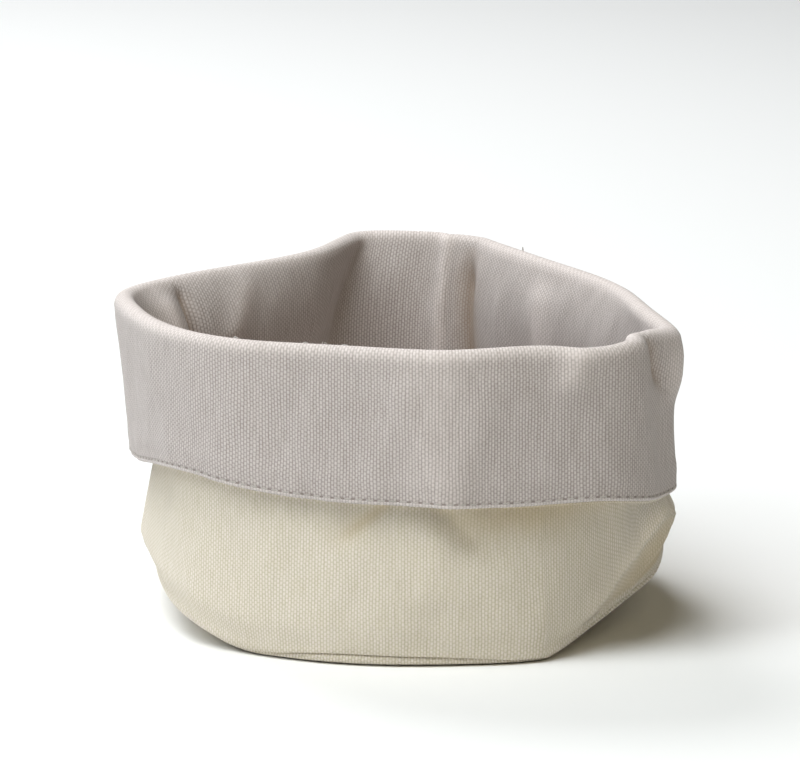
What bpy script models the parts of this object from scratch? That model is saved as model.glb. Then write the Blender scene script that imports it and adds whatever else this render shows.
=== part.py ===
"""A round bread bag of two canvases, standing open with its top folded down into a cuff.

The bag is a cream outer cloth and a sand lining, sewn together at the mouth. Both follow one
shared surface, the middle of the narrow gap between them: it runs from the middle of the base
outwards, up the wall, over the rim and down the cuff to the mouth. The cream cloth lies on one
side of that surface and the lining on the other.

Metres, +Z up. The bag stands on z = 0 with its front towards -Y. Bearings are degrees round the
bag from its front, growing towards +X.
"""
import math
from collections import namedtuple

import bmesh
import bpy
import numpy as np

MM = 0.001

# Cloth
CLOTH = 1.2 * MM                 # thickness of each canvas
GAP = 0.3 * MM                   # between the two canvases
SEAM_GAP = 0.6 * MM              # across each seam, where the cloth bends round the base's edge
HALF_SPACE = GAP / 2 + CLOTH     # from the shared surface to a cloth's far face

# Driving sizes of the bag
EDGE_ROUND = 4 * MM              # the base's edge turns up to the wall in this radius
RIM_HEIGHT = 128.6 * MM          # the shared surface at the rim's fold
RIM_ROUND = 3 * MM               # radius of the shared surface over the rim
CUFF_CLEAR = 5.0 * MM            # the shared surface keeps this far off itself under the cuff
CUFF_SOFT = 1.0 * MM             # how softly the cuff comes to lie on the wall
CREASE_FALL = 2.2                # how fast a crease dies away to its sides
COVER_SPREAD = 1.7               # how much wider than a crease the cuff rises over it
DRAW_PEAK = 0.72                 # share of the wall's height where it draws in most
SHIFT_PEAK = 0.6                 # share of its height where it is shifted sideways most
KNEE_END = 0.40                  # share of the wall's height where the knee has died away
KNEE_ROUND = 0.08                # how softly the knee bends, as a share of its height
SEAM_HALF = SEAM_GAP / (math.pi * EDGE_ROUND)     # half a seam's gap, as a part of the edge's turn

# Where the sections' own middle lies from the middle of the finished bag
ACROSS_SHIFT = 2.0 * MM
DEEP_SHIFT = -1.43 * MM

# How finely the cloths are divided
COLUMNS = 93
CROWD_MOST = 3.0                 # how much closer the columns stand where the rim turns, at most
CORNER_CROWD = 15 * MM           # and how soon: the radius of turn at which they are twice as close
CREASE_CROWD = 2.2               # how much closer they stand along a crease
CREASE_SHARP = 6.0               # of this half width (mm)
BASE_STEPS = (0.0, 0.40, 0.74, 0.94)              # parts of the flat disc's radius
EDGE_STEPS = (0.0, 0.5, 1.0)                      # parts of the rounded edge, each side of the seam
WALL_STEPS = (0.06, 0.12, 0.19, 0.28, 0.46, 0.66, 0.85)
RIM_STEPS = 4
CUFF_STEPS = 3

# One row for each section of cloth, from the front round by the right side. Millimetres.
#   across, deep        where the rim's fold stands in plan
#   rise                how far the rim stands above its usual height
#   drop, flare         how far the mouth hangs below the rim, and stands out beyond it
#   waist               how far the cuff stands out half way down
#   belly               how far the wall stands out half way up
#   draw                how far it draws in a little below the rim
#   shift               how far the wall stands over to the right there; left is negative
#   knee_up, knee_out   height of the wall's crease above the base, and how far it stands out
#   reach               how far the base's edge lies from its middle
#   tuck                how much of the base's edge is the wall, rolled under, from 0 to 1
Section = namedtuple("Section", "across deep rise drop flare waist belly draw shift knee_up knee_out reach tuck")
SECTIONS = [
    Section(0, -117.0, 0.0, 61.3, 0.0, 0.0, 0, 0, 0, 10, 1.0, 115.5, 0.15),       # front
    Section(30, -117.5, 0.0, 62.3, 0.0, 0.0, 0, 0, 0, 10, 1.0, 118, 0.35),
    Section(58, -111.5, 0.0, 62.3, 0.0, 0.0, 0, 0, 0, 10, 2.0, 121.5, 0.70),
    Section(80, -105.5, -1.5, 60.8, 0.0, 0.0, 0, 0, 0, 4, 3.0, 117, 0.50),
    Section(95, -91.0, -0.5, 65.5, 0.0, -0.5, 0, 0, 0, 12, 3.5, 115, 0.40),
    Section(101.6, -76, -0.8, 67.5, 0, -1.2, -2, 0, 0, 17.5, 4.5, 115.5, 0.35),
    Section(107.6, -63.5, -2.0, 66.5, 0, -1.2, -3, 0, 0, 23, 7, 117.2, 0.35),     # right corner
    Section(106, -51, -1.4, 66.5, 0, -0.6, -4, 0, 0, 20, 8.5, 116.2, 0.35),
    Section(100, -28.0, -0.5, 67.0, 0.0, 0.0, -4, 0, 0, 18, 8, 114, 0.35),
    Section(93, 1.0, 0.5, 65.0, 0.0, 0.0, -4, 6, 0, 16, 7.0, 112, 0.35),
    Section(81, 31.0, 1.0, 62.0, 0.0, 0.0, -3, 9, 0, 12, 4.0, 112, 0.35),
    Section(64, 60.0, 1.5, 60.0, 0.0, 0.0, 0, 10, 0, 10, 2.0, 113, 0.35),
    Section(45, 93.0, 2.0, 59.0, 0.0, 0.0, 0, 9, 0, 9, 1.0, 113, 0.35),
    Section(24, 118.5, 2.4, 59.0, 0.0, 0.0, 0, 6, 0, 8, 1.0, 113, 0.35),          # back, right corner
    Section(0, 122.5, 3.0, 59.0, 0.0, 0.0, 0, 5, -8, 8, 1.0, 113, 0.35),          # back
    Section(-18.5, 120.6, 2.8, 59.0, 0.0, 0.0, 0, 5, -16, 8, 1.0, 113, 0.35),     # back, left corner
    Section(-23.5, 112.5, 2.7, 59.0, 0.0, 0.0, 0, 6, -15, 8, 1.0, 113, 0.35),
    Section(-36, 84, 2.2, 59.0, 0.0, 0.0, 0, 10, -5, 8, 1.0, 113, 0.35),
    Section(-58, 61.8, 1.4, 60.0, 0.0, 0.0, 0, 13, 0, 9, 2.0, 113, 0.35),
    Section(-85, 39.0, 1.0, 62.0, 0.0, 0.0, 0, 15, 0, 11, 3.0, 113, 0.35),
    Section(-104, 22.0, 0.0, 64.6, -2.0, 0.0, -3, 9, 0, 9, 3.0, 109, 0.35),
    Section(-113.5, 2.0, 0.0, 65.8, -5.7, 0.0, -3.2, 4, 0, 10, 6, 104.5, 0.50),   # left corner
    Section(-111.5, -18.0, 0.0, 64.8, -5.7, 0.0, -3.2, 0, 0, 10, 6, 104.5, 0.60),
    Section(-103.5, -47.0, 0.0, 60.4, -3.7, 0.0, -3, 0, 0, 9, 4, 108.3, 0.70),
    Section(-85, -81.0, 0.0, 56.0, -1.0, 0.0, -1, 0, 0, 9, 3.0, 115.2, 0.75),
    Section(-60, -100.0, 0.0, 58.5, 0.0, 0.0, 0, 0, 0, 10, 2.0, 113.6, 0.60),
    Section(-30, -109.0, 0.0, 61.0, 0.0, 0.0, 0, 0, 0, 9, 1.0, 114.5, 0.15),
]

# The base rolls up at both sides, like a trough from front to back: one row for each side.
#   start       how far from the middle it leaves the table (mm)
#   radius      how gently it turns up (mm)
#   tilt        how steep it is in the end (degrees)
Lift = namedtuple("Lift", "start radius tilt")
LIFTS = {+1: Lift(58, 3, 22.5), -1: Lift(54, 50, 20)}

# Creases pressed into the cloth, one row each.
#   leg         "wall", "cuff" or "both"
#   bearing     where it meets the rim (degrees)
#   half        half its width (mm)
#   crest       how round its crest is: 0.2 is crisp and 1 is soft
#   out         how far it stands out of the bag; a dent is negative (mm)
#   low, high   heights between which it shows (mm)
#   ease        how gently it starts and ends (mm of height)
#   lean        how far it drifts round the bag, going from high to low (mm)
Crease = namedtuple("Crease", "leg bearing half crest out low high ease lean")
CREASES = [
    Crease("both", 169.0, 5, 0.3, -2.5, 20, 150, 8, 6),        # ridge at the back facet's right edge
    Crease("both", 162.5, 9, 0.5, 1.5, 20, 150, 8, 2),         # valley beside it
    Crease("wall", 162.5, 8, 0.6, 4.0, 20, 127, 16, 2),
    Crease("wall", 129.0, 12, 0.6, -2.5, 30, 127, 12, 3),      # soft ridge
    Crease("wall", 233.0, 8, 0.6, -2.0, 100, 129, 6, 14),      # small ridge left of it
    Crease("wall", 259.0, 11, 0.5, -4.0, 60, 128, 8, -5),      # ridge near the left corner
    Crease("wall", 252.8, 5, 0.3, 5.0, 62, 128, 8, -6),        # sharp valley beside it
    Crease("wall", 350.0, 7, 1.0, -1.5, 44, 100, 12, 0),       # soft dents under the cuff
    Crease("wall", 356.0, 7, 1.0, -2.5, 40, 100, 12, 43),
    Crease("both", 8.0, 14, 1.0, 1.3, 20, 150, 12, 0),         # blunt ridge down the front
    Crease("wall", 66.0, 9, 0.15, 2.2, -6, 52, 10, -70),       # sharp ridge above the base's right
    Crease("cuff", 59.0, 10, 1.0, 2.6, 94, 131, 15, 0),        # puffed corner at the right
    Crease("wall", 54.0, 9, 0.8, -2.5, 80, 150, 10, 0),        # and how it closes inside
    Crease("both", 36.0, 7, 0.7, 1.9, 106, 150, 14, -14),      # pinch at the right front, ridge
    Crease("both", 43.5, 6, 0.5, -3.4, 100, 150, 12, 26),      # and trough
]

CREAM = (0.62, 0.59, 0.47, 1.0)
SAND = (0.42, 0.37, 0.35, 1.0)
CANVAS_ROUGHNESS = 0.95


def closed_spline(knots, values, period, where):
    """A smooth closed curve through values at knots, read at the places in where."""
    count = len(knots)
    steps = np.diff(np.append(knots, knots[0] + period))
    slopes = (np.roll(values, -1) - values) / steps
    matrix = np.zeros((count, count))
    for row in range(count):
        before, after = steps[row - 1], steps[row]
        matrix[row, row - 1] = before
        matrix[row, row] = 2 * (before + after)
        matrix[row, (row + 1) % count] = after
    bends = np.linalg.solve(matrix, 6 * (slopes - np.roll(slopes, 1)))
    where = np.mod(where, period)
    span = np.clip(np.searchsorted(knots, where, side="right") - 1, 0, count - 1)
    after = (span + 1) % count
    step = steps[span]
    far = (where - knots[span]) / step
    near = 1 - far
    curve = (near ** 3 - near) * bends[span] + (far ** 3 - far) * bends[after]
    return near * values[span] + far * values[after] + step ** 2 / 6 * curve


def smooth_step(low, high, value):
    """0 below low, 1 above high, and smooth between them."""
    part = np.clip((value - low) / (high - low), 0.0, 1.0)
    return part * part * (3 - 2 * part)


def unit(vectors):
    """Vectors of length 1; those of no length stay as they are."""
    return vectors / np.maximum(np.linalg.norm(vectors, axis=-1, keepdims=True), 1e-12)


class Rim:
    """The rim's fold in plan, and each section's sizes, read anywhere round the bag."""

    FINE = 1440

    def __init__(self):
        self.table = {name: np.array([getattr(row, name) for row in SECTIONS]) * MM
                      for name in Section._fields}
        across, deep = self.table["across"], self.table["deep"]
        chords = np.hypot(np.roll(across, -1) - across, np.roll(deep, -1) - deep)
        self.period = chords.sum()
        self.knots = np.append(0.0, np.cumsum(chords)[:-1])
        fine = np.linspace(0, self.period, self.FINE + 1)
        x, y = self.read("across", fine), self.read("deep", fine)
        self.fine = fine
        self.length = np.append(0.0, np.cumsum(np.hypot(np.diff(x), np.diff(y))))
        self.bearings = np.degrees(np.unwrap(np.arctan2(x, -y)))

    def read(self, name, where):
        """One column of the table at the places in where."""
        return closed_spline(self.knots, self.table[name], self.period, where)

    def arc(self, where):
        """Length along the rim from the front."""
        return np.interp(where, self.fine, self.length)

    def arc_at_bearing(self, bearing):
        """Length along the rim from the front to the place at this bearing."""
        return np.interp(bearing, self.bearings, self.length)

    def outward(self, where):
        """Unit vectors pointing out of the bag, level and square to the rim."""
        small = self.period / self.FINE
        dx = self.read("across", where + small) - self.read("across", where - small)
        dy = self.read("deep", where + small) - self.read("deep", where - small)
        return np.stack([dy, -dx], -1) / np.hypot(dx, dy)[..., None]


def roll_up(flat_x, lift_off):
    """Where a point of the base goes as its sides roll up: sideways place and height.

    flat_x is its place across the flat disc, lift_off its height above the disc.
    """
    x = np.array(flat_x, float)
    z = np.zeros_like(x)
    lean = np.zeros_like(x)
    for side, lift in LIFTS.items():
        beyond = np.maximum(side * flat_x - lift.start * MM, 0.0)
        tilt = np.minimum(beyond / (lift.radius * MM), math.radians(lift.tilt))
        straight = beyond - tilt * lift.radius * MM
        x += side * (lift.radius * MM * np.sin(tilt) + straight * np.cos(tilt) - beyond)
        z += lift.radius * MM * (1 - np.cos(tilt)) + straight * np.sin(tilt)
        lean += side * tilt
    return x - lift_off * np.sin(lean), z + lift_off * np.cos(lean)


def base_point(bearing, radius, lift_off):
    """A point of the base, given on the flat disc by bearing and radius."""
    x, z = roll_up(radius * np.sin(bearing), lift_off)
    return np.stack([x, -radius * np.cos(bearing), z + HALF_SPACE], -1)


def knee_shape(part, knee):
    """A rounded tent: 0 at the seam, 1 at the knee, and 0 again from KNEE_END up."""
    rising, falling = part / knee, (KNEE_END - part) / (KNEE_END - knee)
    tent = (rising + falling - np.hypot(rising - falling, KNEE_ROUND)) / 2
    return (tent + np.hypot(tent, KNEE_ROUND / 2)) / 2 * smooth_step(0, 0.5, part / knee)


def hump(part, peak):
    """0 at the seam and at the rim, and 1 at the peak between them."""
    power = peak / (1 - peak)
    return part ** power * (1 - part) / (peak ** power * (1 - peak))


def hump_slope(peak):
    """How steep a hump is at the rim."""
    return 1 / (peak ** (peak / (1 - peak)) * (1 - peak))


class Cloth:
    """The surface shared by both canvases, column by column round the bag."""

    def __init__(self, where):
        self.rim = Rim()
        self.where = where
        self.arc = self.rim.arc(where)
        self.bearing = 2 * math.pi * self.arc / self.rim.length[-1]
        for name in Section._fields:
            setattr(self, name, self.rim.read(name, where))
        self.out = self.rim.outward(where)
        self.seam_turn = 1 - self.tuck / MM
        self.foot = base_point(self.bearing, self.reach, EDGE_ROUND)
        self.foot_out = np.stack([np.sin(self.bearing), -np.cos(self.bearing)], -1)
        self.fold = np.stack([self.across, self.deep, RIM_HEIGHT + self.rise - RIM_ROUND], -1)
        height = (self.fold - self.foot)[:, 2]
        self.lean = np.arctan(self.draw * hump_slope(DRAW_PEAK) / height)

    def beside(self, points, level, distance):
        """points moved by distance along the level directions."""
        moved = points.copy()
        moved[..., :2] += level * np.asarray(distance)[..., None]
        return moved

    def creases(self, leg, points, cover=False):
        """How far the creases of one leg push its points out.

        As a cover they are broader, and the dents are left out.
        """
        push = np.zeros(len(points))
        height = points[..., 2]
        whole = self.rim.length[-1]
        for row in (row for row in CREASES if row.leg in (leg, "both")):
            if cover and row.out < 0:
                continue
            half = row.half * MM * (COVER_SPREAD if cover else 1.0)
            down = np.clip((row.high * MM - height) / ((row.high - row.low) * MM), 0.0, 1.0)
            middle = self.rim.arc_at_bearing(row.bearing) + row.lean * MM * down
            apart = (self.arc - middle + whole / 2) % whole - whole / 2
            across = np.exp(CREASE_FALL * (row.crest - np.hypot(apart / half, row.crest)))
            shows = smooth_step(row.low * MM, (row.low + row.ease) * MM, height)
            shows = shows * (1 - smooth_step((row.high - row.ease) * MM, row.high * MM, height))
            push += row.out * MM * across * shows
        return push

    def base(self, part):
        """A ring of the base; part is its share of the flat disc's radius."""
        return base_point(self.bearing, part * (self.reach - EDGE_ROUND), 0.0)

    def edge(self, turn):
        """A ring of the base's rounded edge; turn goes from 0 on the base to 1 up the wall."""
        angle = turn * math.pi / 2
        radius = self.reach - EDGE_ROUND * (1 - np.sin(angle))
        return base_point(self.bearing, radius, EDGE_ROUND * (1 - np.cos(angle)))

    def wall(self, part, cover=False):
        """A ring of the wall; part goes from 0 above the rounded edge to 1 under the rim."""
        top = self.around_fold(self.lean)
        share = part * np.ones((len(self.where), 1))
        points = self.foot + (top - self.foot) * share
        level = unit(self.foot_out * (1 - share) + self.out * share)
        knee = self.knee_up / (top[..., 2] - self.foot[..., 2])
        share = share[..., 0]
        push = self.knee_out * knee_shape(share, knee) + self.belly * np.sin(math.pi * share)
        push += self.creases("wall", points, cover) - self.draw * hump(share, DRAW_PEAK)
        points = self.beside(points, level, push)
        points[..., 0] += self.shift * hump(share, SHIFT_PEAK)
        return points

    def around_fold(self, angle):
        """Where the cloth lies in the rim's fold: angle is 0 inside and a half turn outside."""
        points = self.beside(self.fold, self.out, -RIM_ROUND * np.cos(angle))
        points[..., 2] += RIM_ROUND * np.sin(angle)
        return points

    def roll(self, turn):
        """A ring of the rim's fold; turn goes from 0 inside to 1 outside."""
        points = self.around_fold(self.lean + turn * (math.pi - self.lean))
        push = self.creases("wall", points) * (1 - turn) + self.creases("cuff", points) * turn
        return self.beside(points, self.out, push)

    def cuff(self, part):
        """A ring of the cuff; part goes from 0 at the rim to 1 at the mouth.

        It hangs straight down, or lies on the wall where the wall leans out beyond the rim.
        """
        fall = (self.drop - RIM_ROUND) * part
        height = (self.fold - self.foot)[..., 2]
        behind = self.wall((1 - fall / height)[..., None], cover=True) - self.fold
        clear = CUFF_CLEAR * smooth_step(-0.1, 0.2, part)
        behind = np.sum(behind[..., :2] * self.out, axis=-1) + clear
        hang = RIM_ROUND + self.flare * part + self.waist * math.sin(math.pi * part)
        apart = hang - behind
        push = (hang + behind + np.hypot(apart, CUFF_SOFT)) / 2
        points = self.beside(self.fold, self.out, push)
        points[..., 2] -= fall
        return self.beside(points, self.out, self.creases("cuff", points))


def column_places():
    """Where the columns stand round the rim: closest at the creases and where the rim turns."""
    rim = Rim()
    out = rim.outward(rim.fine)
    turning = np.gradient(np.unwrap(np.arctan2(out[:, 1], out[:, 0])), rim.length)
    crowd = 1 + np.minimum(CORNER_CROWD * np.abs(turning), CROWD_MOST)
    whole = rim.length[-1]
    for row in CREASES:
        apart = (rim.length - rim.arc_at_bearing(row.bearing) + whole / 2) % whole - whole / 2
        beyond = apart - np.clip(apart, min(row.lean, 0) * MM, max(row.lean, 0) * MM)
        near = np.exp(-(beyond / (row.half * MM)) ** 2)
        crowd = np.maximum(crowd, 1 + CREASE_CROWD * near * math.sqrt(CREASE_SHARP / row.half))
    count = np.append(0.0, np.cumsum((crowd[1:] + crowd[:-1]) * np.diff(rim.length)))
    return np.interp(np.linspace(0, count[-1], COLUMNS + 1)[:-1], count, rim.fine)


def base_rings(cloth):
    """Rings of the base from its middle to just inside the seam."""
    rings = [cloth.base(part) for part in BASE_STEPS]
    end = cloth.seam_turn - SEAM_HALF
    return rings + [cloth.edge(end * part) for part in EDGE_STEPS]


def wall_rings(cloth):
    """Rings of the wall from just outside the seam, over the rim, to the mouth."""
    start = cloth.seam_turn + SEAM_HALF
    rings = [cloth.edge(start + (1 - start) * part) for part in EDGE_STEPS]
    rings += [cloth.wall(part) for part in WALL_STEPS]
    rings += [cloth.roll(turn) for turn in np.linspace(0, 1, RIM_STEPS + 1)]
    return rings + [cloth.cuff(part) for part in np.linspace(0, 1, CUFF_STEPS + 1)[1:]]


def offsets(rings):
    """What moves each point 1 m off the surface, to the side of the cream canvas.

    The offset is longer where the surface bends, so that a canvas keeps its thickness there.
    """
    ahead = unit(np.diff(rings, axis=0))
    up = np.concatenate([ahead[:1], ahead]) + np.concatenate([ahead, ahead[-1:]])
    right = unit(np.roll(rings, -1, axis=1) - rings)
    around = right + np.roll(right, 1, axis=1)
    bend = np.maximum(np.linalg.norm(up, axis=-1, keepdims=True) / 2, 0.8)
    off = unit(np.cross(around, up)) / bend
    off[0] = (0, 0, -1)
    return off


def sheet(name, rings, off, side, material):
    """One canvas: a grid moved beside the rings, closed round the bag and made thick."""
    columns = rings.shape[1]
    near = rings + side * off * GAP / 2
    far = rings + side * off * HALF_SPACE
    mesh = bpy.data.meshes.new(name)
    bm = bmesh.new()
    bmesh.ops.create_grid(bm, x_segments=columns, y_segments=len(rings) - 1, size=1.0)
    away = bm.verts.layers.float_vector.new("away")
    bm.verts.ensure_lookup_table()
    for index, vertex in enumerate(bm.verts):
        ring, column = divmod(index, columns + 1)
        vertex.co = near[ring, column % columns]
        vertex[away] = far[ring, column % columns]
    bmesh.ops.remove_doubles(bm, verts=bm.verts, dist=0.001 * MM)
    grown = bmesh.ops.extrude_face_region(bm, geom=bm.faces, use_keep_orig=True)
    for vertex in (item for item in grown["geom"] if isinstance(item, bmesh.types.BMVert)):
        vertex.co = vertex[away]
    bmesh.ops.recalc_face_normals(bm, faces=bm.faces)
    bm.to_mesh(mesh)
    bm.free()
    mesh.attributes.remove(mesh.attributes["away"])
    mesh.shade_smooth()
    mesh.materials.append(material)
    piece = bpy.data.objects.new(name, mesh)
    bpy.context.collection.objects.link(piece)


def canvas(name, colour):
    """A plain matt cloth."""
    material = bpy.data.materials.new(name)
    material.use_nodes = True
    shader = material.node_tree.nodes["Principled BSDF"]
    shader.inputs["Base Color"].default_value = colour
    shader.inputs["Roughness"].default_value = CANVAS_ROUGHNESS
    shader.inputs["Metallic"].default_value = 0.0
    return material


def main():
    for item in list(bpy.data.objects):
        bpy.data.objects.remove(item, do_unlink=True)
    cloth = Cloth(column_places())
    base, wall = base_rings(cloth), wall_rings(cloth)
    rings = np.array(base + wall)
    off = offsets(rings)
    rings += (ACROSS_SHIFT, DEEP_SHIFT, 0)
    split = len(base)
    cream, sand = canvas("cream_canvas", CREAM), canvas("sand_canvas", SAND)
    for cloth_name, side, material in (("outer", 1, cream), ("lining", -1, sand)):
        sheet(cloth_name + "_base", rings[:split], off[:split], side, material)
        sheet(cloth_name + "_wall", rings[split:], off[split:], side, material)


main()
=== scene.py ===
"""The looks of a round bread bag of two canvases, standing open with its top folded into a cuff.

The cream outer cloth and the sand lining follow one shared surface, the middle of the narrow gap
between them. It runs from the middle of the base outwards, up the wall, over the rim and down the
cuff to the mouth, where the two cloths are turned in and topstitched together.

Metres, +Z up. The bag stands on z = 0 with its front towards -Y. Bearings are degrees round the
bag from its front, growing towards +X.
"""
import math
from collections import namedtuple

import bmesh
import bpy
import numpy as np
from bpy.props import FloatProperty, FloatVectorProperty, PointerProperty
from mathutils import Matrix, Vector


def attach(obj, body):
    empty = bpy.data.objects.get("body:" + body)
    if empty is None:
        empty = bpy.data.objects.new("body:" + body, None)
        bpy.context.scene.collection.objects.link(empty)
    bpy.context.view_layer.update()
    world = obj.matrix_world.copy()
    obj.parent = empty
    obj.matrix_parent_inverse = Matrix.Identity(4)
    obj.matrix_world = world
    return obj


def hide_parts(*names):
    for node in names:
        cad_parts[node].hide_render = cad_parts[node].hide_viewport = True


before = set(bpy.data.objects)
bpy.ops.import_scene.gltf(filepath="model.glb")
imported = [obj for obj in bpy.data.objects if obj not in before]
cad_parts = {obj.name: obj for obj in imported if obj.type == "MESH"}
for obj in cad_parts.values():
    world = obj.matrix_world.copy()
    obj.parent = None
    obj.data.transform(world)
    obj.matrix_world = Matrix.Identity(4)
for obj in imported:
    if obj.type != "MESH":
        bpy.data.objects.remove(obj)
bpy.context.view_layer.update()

bl_info = {
    "name": "Linen bread bag",
    "version": (1, 0, 0),
    "blender": (4, 5, 0),
    "location": "3D View > Sidebar > Bread bag",
    "description": "Two canvases, their topstitching and a plain stage",
    "category": "Object",
}

MM = 0.001

# Cloth
CLOTH = 1.2 * MM                 # thickness of each canvas
GAP = 0.3 * MM                   # between the two canvases
SEAM_GAP = 0.14 * MM             # across each seam
HALF_SPACE = GAP / 2 + CLOTH     # from the shared surface to a cloth's far face
SEAM_TURN_IN = 1.1 * MM          # how far from a seam the cloth starts to turn in
EDGE_TURN_IN = 1.2 * MM          # and how far from the mouth's edge
END_KEPT = 0.2                   # share of its thickness that it keeps at the very end
BEND_LEAST = 0.8                 # keeps the offsets from growing too far in a tight bend

# Driving sizes of the bag
EDGE_ROUND = 4 * MM              # the base's edge turns up to the wall in this radius
RIM_HEIGHT = 128.6 * MM          # the shared surface at the rim's fold
RIM_ROUND = 3 * MM               # radius of the shared surface over the rim
CUFF_CLEAR = 5.0 * MM            # the shared surface keeps this far off itself under the cuff
CLEAR_GROWS = -0.1, 0.2          # and comes to it between these shares of the cuff's height
CUFF_SOFT = 1.0 * MM             # how softly the cuff comes to lie on the wall
CREASE_FALL = 2.2                # how fast a crease dies away to its sides
COVER_SPREAD = 1.7               # how much wider than a crease the cuff rises over it
DRAW_PEAK = 0.72                 # share of the wall's height where it draws in most
SHIFT_PEAK = 0.6                 # share of its height where it is shifted sideways most
KNEE_END = 0.40                  # share of the wall's height where the knee has died away
KNEE_ROUND = 0.08                # how softly it bends, as a share of how far it stands out
KNEE_GROWS = 0, 0.5              # it starts smoothly, between these shares of the way up to it
SEAM_HALF = SEAM_GAP / (math.pi * EDGE_ROUND)     # half a seam's gap, as a part of the edge's turn

# Where the sections' own middle lies from the middle of the finished bag
SHIFT = 2.0 * MM, -1.43 * MM, 0.0

# Loose fibres on the rim, one row each.
#   bearing        where it starts, seen from the bag's middle (degrees)
#   turn           how far over the rim's fold it starts: 0 inside, 1 outside
#   along          how far round the rim its end lies (mm)
#   middle, tip    how high its middle and its end stand (mm)
Fibre = namedtuple("Fibre", "bearing turn along middle tip")
FIBRES = [
    Fibre(325, 0.42, 2.6, 0.7, 0.2),
    Fibre(326, 0.42, -1.8, 0.9, 0.3),
    Fibre(340, 0.42, 2.2, 0.6, 0.1),
    Fibre(344, 0.45, 0.4, 0.9, 1.3),
    Fibre(345, 0.45, -1.2, 0.8, 0.5),
    Fibre(348, 0.42, 2.5, 0.5, 0.1),
    Fibre(145, 0.5, 0.6, 1, 1.7),
    Fibre(145, 0.5, 0.3, 1.1, 2),
    Fibre(145, 0.5, -0.1, 1.1, 1.9),
    Fibre(145, 0.52, 0.1, 1, 1.6),
    Fibre(145, 0.48, 0.2, 0.9, 1.8),
]

# The stage's lights, all LAMP_DISTANCE from the bag, one row each.
#   power             the setting that holds its power
#   bearing, height   where it stands, seen from the bag (degrees)
Lamp = namedtuple("Lamp", "power bearing height colour")
LAMPS = [
    Lamp("main", -60, 45, (0.93, 0.985, 1.0)),
    Lamp("front", -30, 68, (0.95, 0.985, 1.0)),
    Lamp("right", 30, 45, (1.0, 0.89, 0.60)),
    Lamp("back", -150, 45, (0.98, 0.99, 1.0)),
]
LAMP_DISTANCE = 2.6
LAMP_SIZE = 1.4
FLOOR_HALF, FLOOR_GAP = 6.0, 0.2 * MM  # half its side, and how far it lies under the bag

# The camera: its lens (mm, for a picture 36 mm wide), its place from the sections' own middle
# and its tilt (degrees)
LENS = 260.2
CAMERA_PLACE = 0, -2.3476, 0.5890
CAMERA_TILT = 78

# How far from the wall's mouth the base is laid out on the flat cloth
BASE_APART = 0.5

# Painted highlight makes the cloths paler on crests and on the rim's top, and painted shade darkens
# the hollows; 1 is the most
# CREST_HIGH = 4.0 * MM            # a crease that stands out this far gets the full painted highlight
CREST_HIGH = 4.0 * MM            # a crease that stands out this far is worn fully
OUTER_PAINTED_LIGHT = 0.4                 # how much of that the outer cloth shows
RIM_HIGHLIGHT = 0.6                   # RIM_HIGHLIGHT = 0.6 # painted highlight on the rim's top
RIM_HIGHLIGHT_BAND = 2.5 * MM              # how far down from there

# At the right front, painted highlight makes the outer cloth pale along its knee, and painted shade
# darkens it below ...
KNEE_MIDDLE = 58                 # bearing of that stretch's middle (degrees)
KNEE_SIDES = 0.45, 0.8           # it grows between these cosines of the turn from there
KNEE_SHARP = 2 * MM, 4.5 * MM    # and as the knee stands out by this much
KNEE_HIGHLIGHT, KNEE_SHADE = 0.5, 0.9
KNEE_EDGE = -1 * MM, 2 * MM      # it grows dull between these depths below the knee
# ... and painted shadow darkens it just under the cuff
SHADE_MIDDLE, SHADE_HALF = 26, 20  # degrees
SHADOW_DARK = 0.75
WEAR_BAND = 9 * MM               # WEAR_BAND = 9 * MM # height of the knee's painted highlight band and of the painted shadow under the cuff

# A short slanting nip in the outer cloth under the cuff, left of the middle
NIP_ENDS = (712, 65), (694, 50)  # how far round the rim and how high each end lies (mm)
NIP_GROWS, NIP_FADES = (-0.5, 0), (0.3, 1.3)  # in lengths from its top end
NIP_HALF = 2.6 * MM
NIP_DEEP = 0.8 * MM
# painted shade that darkens the nip
NIP_SHADE = 0.6

# The outer cloth's edge shows below the lining's at the right front
PEEP = 0.9 * MM
PEEP_GROWS, PEEP_FADES = (12, 34), (58, 68)  # bearings (degrees)

# The lining's relief above the mouth, one row for each form.
#   insets, above   how far above the mouth: so many insets of the stitches, and so many mm
#   half, high      half its width, and its height; a groove is negative (mm)
Hem = namedtuple("Hem", "insets above half high")
HEM_FORMS = [
    Hem(0.55, 0, 0.6, 0.12),     # the edge puffs up below the stitches
    Hem(1, 0, 0.55, -0.30),      # they sink into a groove
    Hem(0, 9, 3, 0.35),          # the turned-in edge makes a ridge
]

# One stitch, a row for each point of its thread.
#   part    where it is along the stitch
#   rise    how far its middle stands above the lining's usual face (mm)
#   thick   its thickness, as a share of the thread's
Bend = namedtuple("Bend", "part rise thick")
STITCH = [Bend(0.10, -0.54, 0.55), Bend(0.28, -0.14, 1.0), Bend(0.5, -0.06, 1.0),
          Bend(0.72, -0.14, 1.0), Bend(0.90, -0.54, 0.55)]
TWIST_NOISE, TWIST_CLEAR, TWIST_DARK = 1800, 0.8, 0.62  # how the threads' colour varies
FIBRE_SUNK = 0.15 * MM           # how deep a fibre starts in the cloth
FIBRE_ENDS = 1.1, 0.4            # its thickness at both ends, as a share of its usual one

# What makes up the weave's height, as shares of its depth
BED, GRAIN, FURROW, SLUB, SPECK = 0.42, 0.42, 0.68, 0.50, 0.50
GRAIN_FLAT = 1.4                 # how flat the grains' tops are
THREAD_WANDER = 0.55             # how far the threads stray, as a share of their width
# How fine the noise is in it, in spots to a metre
WARP_NOISE, WEFT_NOISE, PATCH_NOISE, SPECK_NOISE = 90, 70, 28, 1300
SLUB_NOISE = 800, 90             # across and up
SPECK_TALL = 0.6                 # a speck's width as a share of its height

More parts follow.
